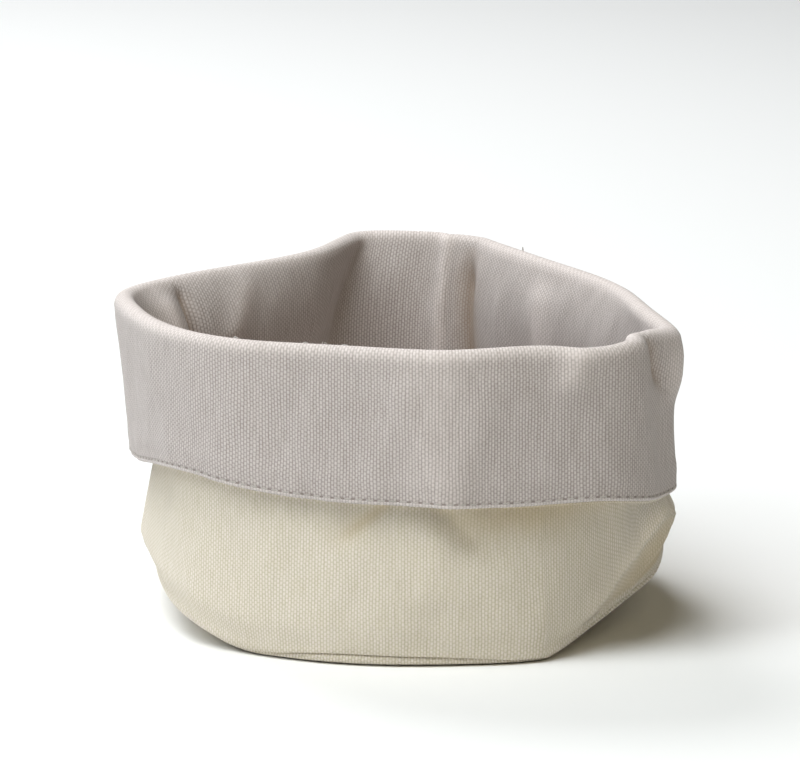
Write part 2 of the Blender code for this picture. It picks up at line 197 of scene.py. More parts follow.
# How a canvas's colour goes from the hollows' to the threads'
PATCHY = 0.10                    # how much it changes from place to place
HIGHLIGHT_FLAT, HIGHLIGHT_PALE = 0.5, 0.35  # HIGHLIGHT_FLAT, HIGHLIGHT_PALE = 0.5, 0.35 # painted highlight makes a crest show less of the weave, and paler
HIGHLIGHT_BRIGHT = 0.45
PUFF_HIGHLIGHT, HOLE_SHADE = 0.35, 0.85  # PUFF_HIGHLIGHT, HOLE_SHADE = 0.35, 0.85 # painted highlight on the puffed edge and painted shade in the needle holes, at the topstitching
CREASE_SHADE = 1.0, 0.86, 0.66           # CREASE_SHADE = 1.0, 0.86, 0.66 # painted shade in a crease's hollow, in shares of the weave's hollows
CREASE_SHADE_SHARE = 0.7

# The topstitching's marks in the lining's material
HOLE_HALF = 0.45 * MM
HOLE_SHORT, HOLE_SHARP = 0.1, 1.5  # along the stitch
HOLE_FLAT = 1.2                  # how flat its bottom is
PUFF_MIDDLE, PUFF_HALF = 0.5, 0.8 * MM  # in insets above the mouth, and half its width

# How finely the cloths are divided
WALL_COLUMNS = 360
BASE_COLUMNS = 240
BASE_RINGS = 40
SEAM_RINGS = 7
WALL_RINGS = 50
RIM_RINGS = 12
CUFF_RINGS = 24
HEM_RINGS = 14
HEM = 5.0 * MM                   # the strip above the mouth that has the finest rings

# One row for each section of cloth, from the front round by the right side. Millimetres.
#   across, deep        where the rim's fold stands in plan
#   rise                how far the rim stands above its usual height
#   drop, flare         how far the mouth hangs below the rim, and stands out beyond it
#   waist               how far the cuff stands out half way down
#   belly               how far the wall stands out half way up
#   draw                how far it draws in a little below the rim
#   shift               how far the wall stands over to the right there; left is negative
#   knee_up, knee_out   height of the wall's crease above the base, and how far it stands out
#   reach               how far the base's edge lies from its middle
#   tuck                how much of the base's edge is the wall, rolled under, from 0 to 1
Section = namedtuple("Section", "across deep rise drop flare waist belly draw shift "
                                "knee_up knee_out reach tuck")
SECTIONS = [
    Section(0, -117, 0, 61.3, 0, 0, 0, 0, 0, 10, 1, 115.5, 0.15),  # front
    Section(30, -117.5, 0, 62.3, 0, 0, 0, 0, 0, 10, 1, 118, 0.35),
    Section(58, -111.5, 0, 62.3, 0, 0, 0, 0, 0, 10, 2, 121.5, 0.70),
    Section(80, -105.5, -1.5, 60.8, 0, 0, 0, 0, 0, 4, 3, 117, 0.50),
    Section(95, -91, -0.5, 65.5, 0, -0.5, 0, 0, 0, 12, 3.5, 115, 0.40),
    Section(101.6, -76, -0.8, 67.5, 0, -1.2, -2, 0, 0, 17.5, 4.5, 115.5, 0.35),
    Section(107.6, -63.5, -2, 66.5, 0, -1.2, -3, 0, 0, 23, 7, 117.2, 0.35),  # right corner
    Section(106, -51, -1.4, 66.5, 0, -0.6, -4, 0, 0, 20, 8.5, 116.2, 0.35),
    Section(100, -28, -0.5, 67, 0, 0, -4, 0, 0, 18, 8, 114, 0.35),
    Section(93, 1, 0.5, 65, 0, 0, -4, 6, 0, 16, 7, 112, 0.35),
    Section(81, 31, 1, 62, 0, 0, -3, 9, 0, 12, 4, 112, 0.35),
    Section(64, 60, 1.5, 60, 0, 0, 0, 10, 0, 10, 2, 113, 0.35),
    Section(45, 93, 2, 59, 0, 0, 0, 9, 0, 9, 1, 113, 0.35),
    Section(24, 118.5, 2.4, 59, 0, 0, 0, 6, 0, 8, 1, 113, 0.35),  # back, right corner
    Section(0, 122.5, 3, 59, 0, 0, 0, 5, -8, 8, 1, 113, 0.35),  # back
    Section(-18.5, 120.6, 2.8, 59, 0, 0, 0, 5, -16, 8, 1, 113, 0.35),  # back, left corner
    Section(-23.5, 112.5, 2.7, 59, 0, 0, 0, 6, -15, 8, 1, 113, 0.35),
    Section(-36, 84, 2.2, 59, 0, 0, 0, 10, -5, 8, 1, 113, 0.35),
    Section(-58, 61.8, 1.4, 60, 0, 0, 0, 13, 0, 9, 2, 113, 0.35),
    Section(-85, 39, 1, 62, 0, 0, 0, 15, 0, 11, 3, 113, 0.35),
    Section(-104, 22, 0, 64.6, -2, 0, -3, 9, 0, 9, 3, 109, 0.35),
    Section(-113.5, 2, 0, 65.8, -5.7, 0, -3.2, 4, 0, 10, 6, 104.5, 0.50),  # left corner
    Section(-111.5, -18, 0, 64.8, -5.7, 0, -3.2, 0, 0, 10, 6, 104.5, 0.60),
    Section(-103.5, -47, 0, 60.4, -3.7, 0, -3, 0, 0, 9, 4, 108.3, 0.70),
    Section(-85, -81, 0, 56, -1, 0, -1, 0, 0, 9, 3, 115.2, 0.75),
    Section(-60, -100, 0, 58.5, 0, 0, 0, 0, 0, 10, 2, 113.6, 0.60),
    Section(-30, -109, 0, 61, 0, 0, 0, 0, 0, 9, 1, 114.5, 0.15),
]

# The base rolls up at both sides, like a trough from front to back: one row for each side.
#   start       how far from the middle it leaves the table (mm)
#   radius      how gently it turns up (mm)
#   tilt        how steep it is in the end (degrees)
Lift = namedtuple("Lift", "start radius tilt")
LIFTS = {+1: Lift(58, 3, 22.5), -1: Lift(54, 50, 20)}

# Creases pressed into the cloth, one row each.
#   leg         "wall", "cuff" or "both"
#   bearing     where it meets the rim (degrees)
#   half        half its width (mm)
#   crest       how round its crest is: 0.2 is crisp and 1 is soft
#   out         how far it stands out of the bag; a dent is negative (mm)
#   low, high   heights between which it shows (mm)
#   ease        how gently it starts and ends (mm of height)
#   lean        how far it drifts round the bag, going from high to low (mm)
Crease = namedtuple("Crease", "leg bearing half crest out low high ease lean")
CREASES = [
    Crease("both", 169, 5, 0.3, -2.5, 20, 150, 8, 6),  # ridge at the back facet's right edge
    Crease("both", 162.5, 9, 0.5, 1.5, 20, 150, 8, 2),  # valley beside it
    Crease("wall", 162.5, 8, 0.6, 4.0, 20, 127, 16, 2),
    Crease("wall", 129, 12, 0.6, -2.5, 30, 127, 12, 3),  # soft ridge
    Crease("wall", 233, 8, 0.6, -2.0, 100, 129, 6, 14),  # small ridge left of it
    Crease("wall", 259, 11, 0.5, -4.0, 60, 128, 8, -5),  # ridge near the left corner
    Crease("wall", 252.8, 5, 0.3, 5.0, 62, 128, 8, -6),  # sharp valley beside it
    Crease("wall", 350, 7, 1.0, -1.5, 44, 100, 12, 0),  # soft dents under the cuff
    Crease("wall", 356, 7, 1.0, -2.5, 40, 100, 12, 43),
    Crease("both", 8, 14, 1.0, 1.3, 20, 150, 12, 0),  # blunt ridge down the front
    Crease("wall", 66, 9, 0.15, 2.2, -6, 52, 10, -70),  # sharp ridge above the base's right
    Crease("cuff", 59, 10, 1.0, 2.6, 94, 131, 15, 0),  # puffed corner at the right
    Crease("wall", 54, 9, 0.8, -2.5, 80, 150, 10, 0),  # and how it closes inside
    Crease("both", 36, 7, 0.7, 1.9, 106, 150, 14, -14),  # pinch at the right front, ridge
    Crease("both", 43.5, 6, 0.5, -3.4, 100, 150, 12, 26),  # and trough
]

# The small unevenness of cloth that has been handled, one row for each wave.
#   high        how far it stands out (mm)
#   round, up   how many waves there are round the bag, and along 100 mm of height
#   start       where it starts (degrees)
Wave = namedtuple("Wave", "high round up start")
WAVES = [
    Wave(0.22, 17, 0.9, 40),
    Wave(0.18, 23, -1.3, 200),
    Wave(0.14, 31, 2.1, 310),
    Wave(0.10, 43, -1.9, 95),
    Wave(0.07, 61, 3.3, 150),
]

# Where it grows and fades, in shares of the wall's height, and of the cuff's from the rim down
WAVES_GROW, WAVES_FADE, CUFF_WAVES_GROW = (0, 0.1), (0.93, 1), (0, 0.15)


def closed_spline(knots, values, period, where):
    """A smooth closed curve through values at knots, read at the places in where."""
    count = len(knots)
    steps = np.diff(np.append(knots, knots[0] + period))
    slopes = (np.roll(values, -1) - values) / steps
    matrix = np.zeros((count, count))
    for row in range(count):
        before, after = steps[row - 1], steps[row]
        matrix[row, row - 1] = before
        matrix[row, row] = 2 * (before + after)
        matrix[row, (row + 1) % count] = after
    bends = np.linalg.solve(matrix, 6 * (slopes - np.roll(slopes, 1)))
    where = np.mod(where, period)
    span = np.clip(np.searchsorted(knots, where, side="right") - 1, 0, count - 1)
    after = (span + 1) % count
    step = steps[span]
    far = (where - knots[span]) / step
    near = 1 - far
    curve = (near ** 3 - near) * bends[span] + (far ** 3 - far) * bends[after]
    return near * values[span] + far * values[after] + step ** 2 / 6 * curve


def smooth_step(low, high, value):
    """0 below low, 1 above high, and smooth between them."""
    part = np.clip((value - low) / (high - low), 0.0, 1.0)
    return part * part * (3 - 2 * part)


def unit(vectors):
    """Vectors of length 1; those of no length stay as they are."""
    return vectors / np.maximum(np.linalg.norm(vectors, axis=-1, keepdims=True), 1e-12)


def beside(points, level, distance):
    """points moved by distance along the level directions."""
    moved = points.copy()
    moved[..., :2] += level * np.asarray(distance)[..., None]
    return moved


class Rim:
    """The rim's fold in plan, and each section's sizes, read anywhere round the bag."""

    FINE = 1440

    def __init__(self):
        self.table = {name: np.array([getattr(row, name) for row in SECTIONS]) * MM
                      for name in Section._fields}
        across, deep = self.table["across"], self.table["deep"]
        chords = np.hypot(np.roll(across, -1) - across, np.roll(deep, -1) - deep)
        self.period = chords.sum()
        self.knots = np.append(0.0, np.cumsum(chords)[:-1])
        fine = np.linspace(0, self.period, self.FINE + 1)
        x, y = self.read("across", fine), self.read("deep", fine)
        self.fine = fine
        self.length = np.append(0.0, np.cumsum(np.hypot(np.diff(x), np.diff(y))))
        self.bearings = np.degrees(np.unwrap(np.arctan2(x, -y)))

    def read(self, name, where):
        """One column of the table at the places in where."""
        return closed_spline(self.knots, self.table[name], self.period, where)

    def arc_at_bearing(self, bearing):
        """Length along the rim from the front to the place at this bearing."""
        return np.interp(bearing, self.bearings, self.length)

    def place(self, arc):
        """The place that lies this length along the rim."""
        return np.interp(arc, self.length, self.fine)

    def outward(self, where):
        """Unit vectors pointing out of the bag, level and square to the rim."""
        small = self.period / self.FINE
        dx = self.read("across", where + small) - self.read("across", where - small)
        dy = self.read("deep", where + small) - self.read("deep", where - small)
        return np.stack([dy, -dx], -1) / np.hypot(dx, dy)[..., None]


def roll_up(flat_x, lift_off):
    """Where a point of the base goes as its sides roll up: sideways place and height.

    flat_x is its place across the flat disc, lift_off its height above the disc.
    """
    x = np.array(flat_x, float)
    z = np.zeros_like(x)
    lean = np.zeros_like(x)
    for side, lift in LIFTS.items():
        beyond = np.maximum(side * flat_x - lift.start * MM, 0.0)
        tilt = np.minimum(beyond / (lift.radius * MM), math.radians(lift.tilt))
        straight = beyond - tilt * lift.radius * MM
        x += side * (lift.radius * MM * np.sin(tilt) + straight * np.cos(tilt) - beyond)
        z += lift.radius * MM * (1 - np.cos(tilt)) + straight * np.sin(tilt)
        lean += side * tilt
    return x - lift_off * np.sin(lean), z + lift_off * np.cos(lean)


def base_point(bearing, radius, lift_off):
    """A point of the base, given on the flat disc by bearing and radius."""
    x, z = roll_up(radius * np.sin(bearing), lift_off)
    return np.stack([x, -radius * np.cos(bearing), z + HALF_SPACE], -1)


def knee_shape(part, knee):
    """A rounded tent: 0 at the seam, 1 at the knee, and 0 again from KNEE_END up."""
    rising, falling = part / knee, (KNEE_END - part) / (KNEE_END - knee)
    tent = (rising + falling - np.hypot(rising - falling, KNEE_ROUND)) / 2
    return (tent + np.hypot(tent, KNEE_ROUND / 2)) / 2 * smooth_step(*KNEE_GROWS, part / knee)


def hump(part, peak):
    """0 at the seam and at the rim, and 1 at the peak between them."""
    power = peak / (1 - peak)
    return part ** power * (1 - part) / (peak ** power * (1 - peak))


def hump_slope(peak):
    """How steep a hump is at the rim."""
    return 1 / (peak ** (peak / (1 - peak)) * (1 - peak))


class Cloth:
    """The surface shared by both canvases, column by column round the bag."""

    def __init__(self, columns):
        self.rim = Rim()
        whole = self.rim.length[-1]
        self.arc = np.arange(columns) / columns * whole
        where = self.rim.place(self.arc)
        self.bearing = 2 * math.pi * self.arc / whole
        for name in Section._fields:
            setattr(self, name, self.rim.read(name, where))
        self.out = self.rim.outward(where)
        self.seam_turn = 1 - self.tuck / MM
        self.foot = base_point(self.bearing, self.reach, EDGE_ROUND)
        self.foot_out = np.stack([np.sin(self.bearing), -np.cos(self.bearing)], -1)
        self.fold = np.stack([self.across, self.deep, RIM_HEIGHT + self.rise - RIM_ROUND], -1)
        height = (self.fold - self.foot)[:, 2]
        self.lean = np.arctan(self.draw * hump_slope(DRAW_PEAK) / height)

    def creases(self, leg, points, cover=False):
        """How far the creases of one leg push its points out.

        As a cover they are broader, and the dents are left out.
        """
        push = np.zeros(len(points))
        height = points[..., 2]
        whole = self.rim.length[-1]
        for row in CREASES:
            if row.leg not in (leg, "both") or cover and row.out < 0:
                continue
            half = row.half * MM * (COVER_SPREAD if cover else 1.0)
            down = np.clip((row.high * MM - height) / ((row.high - row.low) * MM), 0.0, 1.0)
            middle = self.rim.arc_at_bearing(row.bearing) + row.lean * MM * down
            apart = (self.arc - middle + whole / 2) % whole - whole / 2
            across = np.exp(CREASE_FALL * (row.crest - np.hypot(apart / half, row.crest)))
            shows = smooth_step(row.low * MM, (row.low + row.ease) * MM, height)
            shows = shows * (1 - smooth_step((row.high - row.ease) * MM, row.high * MM, height))
            push += row.out * MM * across * shows
        return push

    def waves(self, points):
        """How far the cloth's small unevenness pushes points out."""
        height = points[..., 2] / (100 * MM)
        return sum(row.high * MM * np.sin(row.round * self.bearing + 2 * math.pi * row.up * height
                                          + math.radians(row.start)) for row in WAVES)

    def base(self, part):
        """A ring of the base; part is its share of the flat disc's radius."""
        return base_point(self.bearing, part * (self.reach - EDGE_ROUND), 0.0)

    def edge(self, turn):
        """A ring of the base's rounded edge; turn goes from 0 on the base to 1 up the wall."""
        angle = turn * math.pi / 2
        radius = self.reach - EDGE_ROUND * (1 - np.sin(angle))
        return base_point(self.bearing, radius, EDGE_ROUND * (1 - np.cos(angle)))

    def wall(self, part, cover=False):
        """A ring of the wall; part goes from 0 above the rounded edge to 1 under the rim."""
        top = self.around_fold(self.lean)
        share = part * np.ones((len(self.arc), 1))
        points = self.foot + (top - self.foot) * share
        level = unit(self.foot_out * (1 - share) + self.out * share)
        knee = self.knee_up / (top[..., 2] - self.foot[..., 2])
        share = share[..., 0]
        push = self.knee_out * knee_shape(share, knee) + self.belly * np.sin(math.pi * share)
        push += self.creases("wall", points, cover) - self.draw * hump(share, DRAW_PEAK)
        waves = self.waves(points) * smooth_step(*WAVES_GROW, share)
        push += waves * (1 - smooth_step(*WAVES_FADE, share))
        points = beside(points, level, push)
        points[..., 0] += self.shift * hump(share, SHIFT_PEAK)
        return points

    def around_fold(self, angle):
        """Where the cloth lies in the rim's fold: angle is 0 inside and a half turn outside."""
        points = beside(self.fold, self.out, -RIM_ROUND * np.cos(angle))
        points[..., 2] += RIM_ROUND * np.sin(angle)
        return points

    def roll(self, turn):
        """A ring of the rim's fold; turn goes from 0 inside to 1 outside."""
        points = self.around_fold(self.lean + turn * (math.pi - self.lean))
        push = self.creases("wall", points) * (1 - turn) + self.creases("cuff", points) * turn
        return beside(points, self.out, push)

    def cuff(self, part):
        """A ring of the cuff; part goes from 0 at the rim to 1 at the mouth.

        It hangs straight down, or lies on the wall where the wall leans out beyond the rim.
        """
        fall = (self.drop - RIM_ROUND) * part
        height = (self.fold - self.foot)[..., 2]
        behind = self.wall((1 - fall / height)[..., None], cover=True) - self.fold
        behind = np.sum(behind[..., :2] * self.out, axis=-1)
        behind = behind + CUFF_CLEAR * smooth_step(*CLEAR_GROWS, part)
        hang = RIM_ROUND + self.flare * part + self.waist * np.sin(math.pi * part)
        apart = hang - behind
        push = (hang + behind + np.hypot(apart, CUFF_SOFT)) / 2
        points = beside(self.fold, self.out, push)
        points[..., 2] -= fall
        waves = self.waves(points) * smooth_step(*CUFF_WAVES_GROW, part)
        return beside(points, self.out, self.creases("cuff", points) + waves)

    def above_mouth(self, distance):
        """A ring of the cuff that lies this far above the mouth."""
        return self.cuff(1 - distance / (self.drop - RIM_ROUND))


def base_rings(cloth):
    """Rings of the base from its middle to just inside the seam."""
    rings = [cloth.base(part) for part in np.linspace(0, 1, BASE_RINGS)[:-1]]
    end = cloth.seam_turn - SEAM_HALF
    return np.array(rings + [cloth.edge(end * part) for part in np.linspace(0, 1, SEAM_RINGS)])


def wall_rings(cloth):
    """Rings of the wall from just outside the seam, over the rim, to the mouth."""
    start = cloth.seam_turn + SEAM_HALF
    rings = [cloth.edge(start + (1 - start) * part) for part in np.linspace(0, 1, SEAM_RINGS)[:-1]]
    rings += [cloth.wall(part) for part in np.linspace(0, 1, WALL_RINGS)[:-1]]
    rings += [cloth.roll(turn) for turn in np.linspace(0, 1, RIM_RINGS)[:-1]]
    above = 1 - HEM / (cloth.drop - RIM_ROUND)
    rings += [cloth.cuff(above * part) for part in np.linspace(0, 1, CUFF_RINGS)[:-1]]
    rings += [cloth.above_mouth(HEM * part) for part in np.linspace(1, 0, HEM_RINGS)]
    return np.array(rings)


def offsets(rings):
    """What moves each point 1 m off the surface, to the side of the cream canvas.

    The offset is longer where the surface bends, so that a canvas keeps its thickness there.
    """
    ahead = unit(np.diff(rings, axis=0))
    up = np.concatenate([ahead[:1], ahead]) + np.concatenate([ahead, ahead[-1:]])
    right = unit(np.roll(rings, -1, axis=1) - rings)
    around = right + np.roll(right, 1, axis=1)
    bend = np.maximum(np.linalg.norm(up, axis=-1, keepdims=True) / 2, BEND_LEAST)
    return unit(np.cross(around, up)) / bend


def path_lengths(rings):
    """How far each point lies along its column from the first ring."""
    steps = np.linalg.norm(np.diff(rings, axis=0), axis=-1)
    return np.concatenate([np.zeros((1, rings.shape[1])), np.cumsum(steps, axis=0)])


def turned_in(distance, reach):
    """How much of its thickness a cloth keeps this far from a rounded end: from 0 to 1."""
    return np.sqrt(1 - np.clip(1 - distance / reach, 0, 1) ** 2 * (1 - END_KEPT ** 2))


def sheet(name, near, far, flat, crest, material):
    """One canvas: a grid moved to its near face, closed round the bag and made thick.

    flat holds where each point lies on the flat cloth, with a last column for the closing seam.
    crest says how much painted highlight makes each point paler as a crest or, below 0, how much
    painted shade darkens it in a hollow.
    """
    columns = near.shape[1]
    bm = bmesh.new()
    bmesh.ops.create_grid(bm, x_segments=columns, y_segments=len(near) - 1, size=1.0)
    away = bm.verts.layers.float_vector.new("away")
    # the crest attribute holds painted light: painted highlight above 0, painted shade below 0
    painted_light = bm.verts.layers.float.new("crest")
    place = bm.loops.layers.uv.new("cloth")
    bm.verts.ensure_lookup_table()
    for index, vertex in enumerate(bm.verts):
        ring, column = divmod(index, columns + 1)
        vertex.co = near[ring, column % columns]
        vertex[away] = far[ring, column % columns]
        vertex[painted_light] = crest[ring, column % columns]
        for loop in vertex.link_loops:
            loop[place].uv = flat[ring, column]
    bmesh.ops.remove_doubles(bm, verts=bm.verts, dist=0.001 * MM)
    grown = bmesh.ops.extrude_face_region(bm, geom=bm.faces, use_keep_orig=True)
    for vertex in (item for item in grown["geom"] if isinstance(item, bmesh.types.BMVert)):
        vertex.co = vertex[away]
    piece = finished(bm, name, material)
    piece.data.attributes.remove(piece.data.attributes["away"])
    return piece


def finished(bm, name, material):
    """The object that bm describes; bm is used up."""
    bmesh.ops.recalc_face_normals(bm, faces=bm.faces)
    mesh = bpy.data.meshes.new(name)
    bm.to_mesh(mesh)
    bm.free()
    mesh.shade_smooth()
    mesh.materials.append(material)
    piece = bpy.data.objects.new(name, mesh)
    bpy.context.collection.objects.link(piece)
    return piece


def both_faces(rings, off, keep, relief):
    """A canvas's near and far face; off leads from the shared surface to its side.

    keep is how much of its thickness it has, and relief how much more it stands out.
    """
    thick = GAP / 2 + (HALF_SPACE - GAP / 2) * keep + relief
    return rings + off * GAP / 2, rings + off * thick[..., None]


def wall_sheet(name, side, material):
    """The wall of one canvas; side is 1 for the outer cloth and -1 for the lining."""
    cloth = Cloth(WALL_COLUMNS)
    rings = wall_rings(cloth)
    off = side * offsets(rings)
    rings = rings + SHIFT
    along = path_lengths(rings)
    from_mouth = along[-1] - along
    keep = turned_in(from_mouth, EDGE_TURN_IN) * turned_in(along, SEAM_TURN_IN)
    nipped = nip(cloth, rings)
    relief = hem_relief(from_mouth) if side < 0 else -NIP_DEEP * nipped
    near, far = both_faces(rings, off, keep, relief)
    if side > 0:
        lower = (peep(cloth) * (1 - smooth_step(0, HEM, from_mouth)))[..., None] * (0, 0, -1)
        near, far = near + lower, far + lower
    flat = np.stack([lengths_round(cloth, len(rings)),
                     np.concatenate([from_mouth, from_mouth[:, :1]], axis=1)], -1)
    below_top = rings[..., 2].max(axis=0) - rings[..., 2]
    # painted highlight on crests and painted shade in hollows; the outer cloth also gets painted
    # light along its knee, painted shadow under the cuff and painted shade in the nip, and both
    # cloths get a painted highlight on the rim's top
    crest = np.sum(off[..., :2] * cloth.out, axis=-1) * pressed(cloth, rings)
    if side > 0:
        crest = OUTER_PAINTED_LIGHT * crest + knee_painted_light(cloth, rings)
        crest = crest - under_cuff(cloth, rings) - NIP_SHADE * nipped
    crest = crest + RIM_HIGHLIGHT * np.exp(-(below_top / RIM_HIGHLIGHT_BAND) ** 2)
    return sheet(name, near, far, flat, np.clip(crest, -1, 1), material)


def pressed(cloth, rings):
    """How far the creases push each point out, as a share of CREST_HIGH."""
    cuff_from = rings[..., 2].argmax(axis=0).min()
    return np.stack([cloth.creases("wall" if number < cuff_from else "cuff", ring)
                     for number, ring in enumerate(rings)]) / CREST_HIGH


def knee_painted_light(cloth, rings):
    """How much painted highlight makes the outer cloth pale along its knee or, below 0, painted
    shade darkens it below the knee.
    """
    share = wall_shares(len(rings))[:, None]
    above = share * (cloth.fold - cloth.foot)[..., 2] - cloth.knee_up
    right = smooth_step(*KNEE_SIDES, np.cos(cloth.bearing - math.radians(KNEE_MIDDLE)))
    sharp = right * smooth_step(*KNEE_SHARP, cloth.knee_out) * (share > 0)
    pale = KNEE_HIGHLIGHT * np.exp(-(above / WEAR_BAND) ** 2)
    return sharp * (pale - KNEE_SHADE * smooth_step(*KNEE_EDGE, -above))


def under_cuff(cloth, rings):
    """How much painted shadow darkens the outer cloth under the cuff."""
    mouth = cloth.fold[..., 2] - cloth.drop
    aside = (np.degrees(cloth.bearing) - SHADE_MIDDLE) / SHADE_HALF
    return SHADOW_DARK * np.exp(-aside ** 2 - ((rings[..., 2] - mouth) / WEAR_BAND) ** 2)


def nip(cloth, rings):
    """How far each point lies in the outer cloth's nip: from 0 to 1."""
    top, end = np.array(NIP_ENDS) * MM
    point = np.stack([np.broadcast_to(cloth.arc, rings.shape[:2]), rings[..., 2]], -1) - top
    length = math.dist(top, end)
    way = (end - top) / length
    reach = point @ way / length
    aside = point @ np.array([-way[1], way[0]])
    ends = smooth_step(*NIP_GROWS, reach) * (1 - smooth_step(*NIP_FADES, reach))
    return ends * np.exp(-(aside / NIP_HALF) ** 2)


def wall_shares(count):
    """How far up the wall each of count rings lies; 0 before the wall and past the rim."""
    share = np.zeros(count)
    first = SEAM_RINGS - 1
    share[first:first + WALL_RINGS - 1] = np.linspace(0, 1, WALL_RINGS)[:-1]
    return share


def lengths_round(cloth, count):
    """How far round the flat cloth the points of count rings lie.

    Where the wall is shifted sideways, its upright threads still run straight.
    """
    share = wall_shares(count)
    whole = cloth.rim.length[-1]
    grown = np.cumsum(np.gradient(cloth.shift) * -cloth.out[:, 1])
    grown = grown - grown[-1] * cloth.arc / whole
    around = cloth.arc + hump(share, SHIFT_PEAK)[:, None] * grown
    return np.concatenate([around, around[:, :1] + whole], axis=1)


def base_sheet(name, side, material):
    """The base of one canvas; side is 1 for the outer cloth and -1 for the lining."""
    cloth = Cloth(BASE_COLUMNS)
    rings = base_rings(cloth)
    off = side * offsets(rings)
    off[0] = (0, 0, -side)
    rings = rings + SHIFT
    along = path_lengths(rings)
    near, far = both_faces(rings, off, turned_in(along[-1] - along, SEAM_TURN_IN), 0.0)
    turn = np.append(cloth.bearing, 2 * math.pi)
    along = np.concatenate([along, along[:, :1]], axis=1)
    flat = np.stack([along * np.sin(turn), BASE_APART - along * np.cos(turn)], -1)
    return sheet(name, near, far, flat, np.zeros(along.shape), material)


def hem_relief(from_mouth):
    """How far the lining stands out of its usual face above the mouth."""
    inset = bpy.context.scene.bag_stitches.inset
    relief = 0.0
    for form in HEM_FORMS:
        apart = from_mouth - form.insets * inset - form.above * MM
        relief = relief + form.high * MM * np.exp(-(apart / (form.half * MM)) ** 2)
    return relief


def peep(cloth):
    """How far the outer cloth's edge shows below the lining's at the mouth."""
    bearing = np.degrees(cloth.bearing)
    return PEEP * smooth_step(*PEEP_GROWS, bearing) * (1 - smooth_step(*PEEP_FADES, bearing))


class Socket:
    """A number in a material, with Python's operators as Math nodes."""

    def __init__(self, nodes, socket):
        self.nodes = nodes
        self.socket = socket

    def maths(self, operation, first, second=0.0):
        return self.nodes.add("ShaderNodeMath", {"operation": operation}, {0: first, 1: second})

    def __add__(self, other):
        return self.maths("ADD", self, other)

    __radd__ = __add__

    def __sub__(self, other):
        return self.maths("SUBTRACT", self, other)

    def __rsub__(self, other):
        return self.maths("SUBTRACT", other, self)

    def __mul__(self, other):
        return self.maths("MULTIPLY", self, other)

    __rmul__ = __mul__


class Nodes:
    """The nodes of one material."""

    def __init__(self, name, colour):
        self.material = bpy.data.materials.new(name)
        self.material.use_nodes = True
        self.material.diffuse_color = (*colour, 1.0)
        self.tree = self.material.node_tree
        self.shader = self.tree.nodes["Principled BSDF"]

    def add(self, kind, settings=None, values=None, out=0):
        """A node with its settings and its sockets' values or links; gives one output."""
        node = self.tree.nodes.new(kind)
        for name, value in (settings or {}).items():
            setattr(node, name, value)
        self.fill(node, values or {})
        return Socket(self, node.outputs[out])

    def fill(self, node, values):
        """Sets or links a node's sockets."""
        for name, value in values.items():
            if isinstance(value, Socket):
                self.tree.links.new(value.socket, node.inputs[name])
            else:
                node.inputs[name].default_value = value

    def cosine(self, value):
        return self.add("ShaderNodeMath", {"operation": "COSINE"}, {0: value})

    def clamped(self, value):
        """The value kept between 0 and 1."""
        return self.add("ShaderNodeClamp", None, {"Value": value})

    def joined(self, x, y):
        return self.add("ShaderNodeCombineXYZ", None, {0: x, 1: y})

    def noise(self, place, scale, detail=2.0):
        """Soft noise, from about -0.5 to 0.5."""
        values = {"Vector": place, "Scale": scale, "Detail": detail}
        return self.add("ShaderNodeTexNoise", None, values) - 0.5

    def mixed(self, factor, first, second):
        """A blend of two colours; each is four numbers or the output of another blend."""
        values = {"Factor": factor, 6: first, 7: second}
        return self.add("ShaderNodeMix", {"data_type": "RGBA"}, values, out=2)


def stitch_marks(nodes, across, up):
    """Where the topstitching dents the lining, for its bump and the painted shade in the needle
    holes, and where the edge below it is puffed up, for its painted highlight.
    """
    stitches = bpy.context.scene.bag_stitches
    around = round(Rim().length[-1] / stitches.pitch) / Rim().length[-1]
    off_line = (up - stitches.inset) * (1 / HOLE_HALF)
    off_puff = (up - PUFF_MIDDLE * stitches.inset) * (1 / PUFF_HALF)
    ends = nodes.cosine(across * (2 * math.pi * around)) * HOLE_SHARP - HOLE_SHORT
    hole = nodes.clamped(HOLE_FLAT - off_line * off_line) * nodes.clamped(ends)
    return hole, nodes.clamped(1 - off_puff * off_puff)


